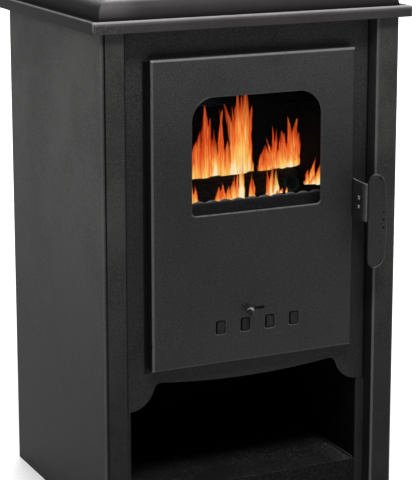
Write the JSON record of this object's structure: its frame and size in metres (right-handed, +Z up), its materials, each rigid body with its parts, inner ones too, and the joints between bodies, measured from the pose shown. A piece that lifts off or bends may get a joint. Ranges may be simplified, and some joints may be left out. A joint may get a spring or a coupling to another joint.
{
  "type": "wood stove",
  "caption": "Box-shaped sheet-steel wood stove with cast hob top, glazed door with air slide and lift handle, bowed apron and open log store.",
  "frame": {"origin": "on the floor, at the middle of the whole stove's footprint, from the grip's front to the flue collar's rear end", "axes": "+X to the right seen from the front, +Y from the front to the rear, +Z up"},
  "size_m": [0.4486, 0.388, 0.683],
  "materials": {
    "side_paint": "matt heat-resistant paint",
    "front_paint": "matt heat-resistant paint",
    "door_paint": "matt heat-resistant paint",
    "top_paint": "satin heat-resistant paint",
    "inner_steel": "sooty steel",
    "hob_iron": "ground cast iron",
    "grate_iron": "sooty cast iron",
    "zinc_steel": "zinc plated",
    "firebrick": "sooty fireclay",
    "glass": "clear glass ceramic",
    "seal_rope": "knitted glass rope",
    "log_wood": "charred wood"
  },
  "bodies": {
    "stove": {"left_side_panel": "side_paint", "right_side_panel": "side_paint", "front_panel": "front_paint", "rear_panel": "front_paint", "base_plate": "front_paint", "inner_left_wall": "inner_steel", "inner_right_wall": "inner_steel", "inner_rear_wall": "inner_steel", "firebox_floor": "inner_steel", "fire_plate": "inner_steel", "baffle_plate": "inner_steel", "left_firebrick": "firebrick", "right_firebrick": "firebrick", "rear_firebrick": "firebrick", "grate": "grate_iron", "log_guard": "inner_steel", "ash_pan": "zinc_steel", "ash_pan_handle": "zinc_steel", "logs": "log_wood", "top_frame": "top_paint", "hob_plate": "hob_iron", "hob_ring": "hob_iron", "flue_collar": "front_paint", "flue_screws": "zinc_steel", "casing_screws": "zinc_steel", "hinge_brackets": "front_paint", "latch_keeper": "zinc_steel"},
    "door": {"door_panel": "door_paint", "door_liner": "inner_steel", "window_glass": "glass", "glass_clips": "zinc_steel", "glass_screws": "zinc_steel", "door_gasket": "seal_rope", "hinge_ears": "door_paint", "hinge_pins": "zinc_steel", "slide_guides": "zinc_steel", "handle_bracket": "door_paint", "handle_pivot": "zinc_steel", "handle_stop": "zinc_steel"},
    "handle": {"handle_lever": "door_paint", "handle_grip": "door_paint"},
    "damper": {"air_slide": "zinc_steel", "air_pin": "door_paint"},
    "lid": {"hob_lid": "hob_iron"}
  },
  "joints": [
    {"name": "door_hinge", "type": "hinge", "parent": "stove", "child": "door", "pos_m": [-0.1356, -0.151, 0.4], "axis": [0, 0, -1], "range_deg": [0, 110]},
    {"name": "handle_lift", "type": "hinge", "parent": "door", "child": "handle", "pos_m": [0.152, -0.172, 0.409], "axis": [-1, 0, 0], "range_deg": [0, 25]},
    {"name": "air_slide_travel", "type": "slide", "parent": "door", "child": "damper", "axis": [1, 0, 0], "range_m": [0, 0.016]},
    {"name": "lid_lift", "type": "slide", "parent": "stove", "child": "lid", "axis": [0, 0, 1], "range_m": [0, 0.06]}
  ]
}
